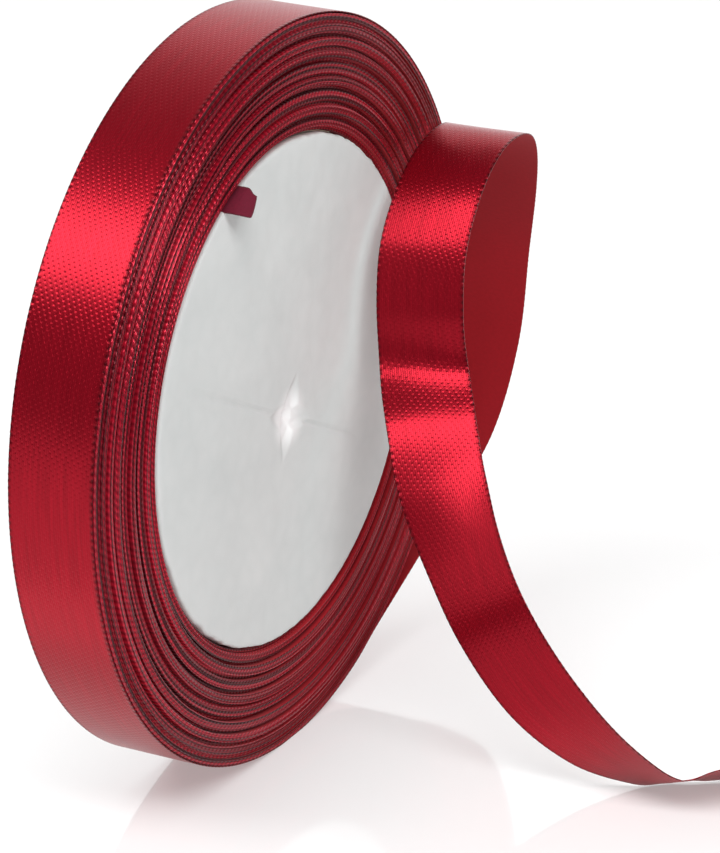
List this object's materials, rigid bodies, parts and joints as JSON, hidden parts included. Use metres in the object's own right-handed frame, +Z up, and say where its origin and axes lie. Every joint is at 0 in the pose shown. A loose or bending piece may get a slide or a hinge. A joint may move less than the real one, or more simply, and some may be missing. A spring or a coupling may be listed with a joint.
{
  "type": "ribbon roll",
  "caption": "Narrow satin gift ribbon wound on a solid foam disc core, standing on its rim, with the loose end looped over in front.",
  "frame": {"origin": "centre of the roll's back face, on the roll's axis", "axes": "+Z up as the roll stands on its rim, +Y along the roll's axis out of the back face, +X to the side where the free end leaves the rim"},
  "size_m": [0.0923, 0.0843, 0.083],
  "materials": {
    "foam": "matte",
    "tape": "satin",
    "ribbon_back": "matte",
    "ribbon": "satin"
  },
  "bodies": {
    "loose_ribbon": {"outer_turn": "ribbon", "free_end": "ribbon"},
    "roll": {"foam_core": "foam", "core_tape": "tape", "ribbon_start": "ribbon_back", "ribbon_winding": "ribbon"}
  },
  "joints": [
    {"name": "roll_spin", "type": "hinge", "parent": "loose_ribbon", "child": "roll", "pos_m": [0, 0, 0], "axis": [0, 1, 0], "continuous": true}
  ]
}
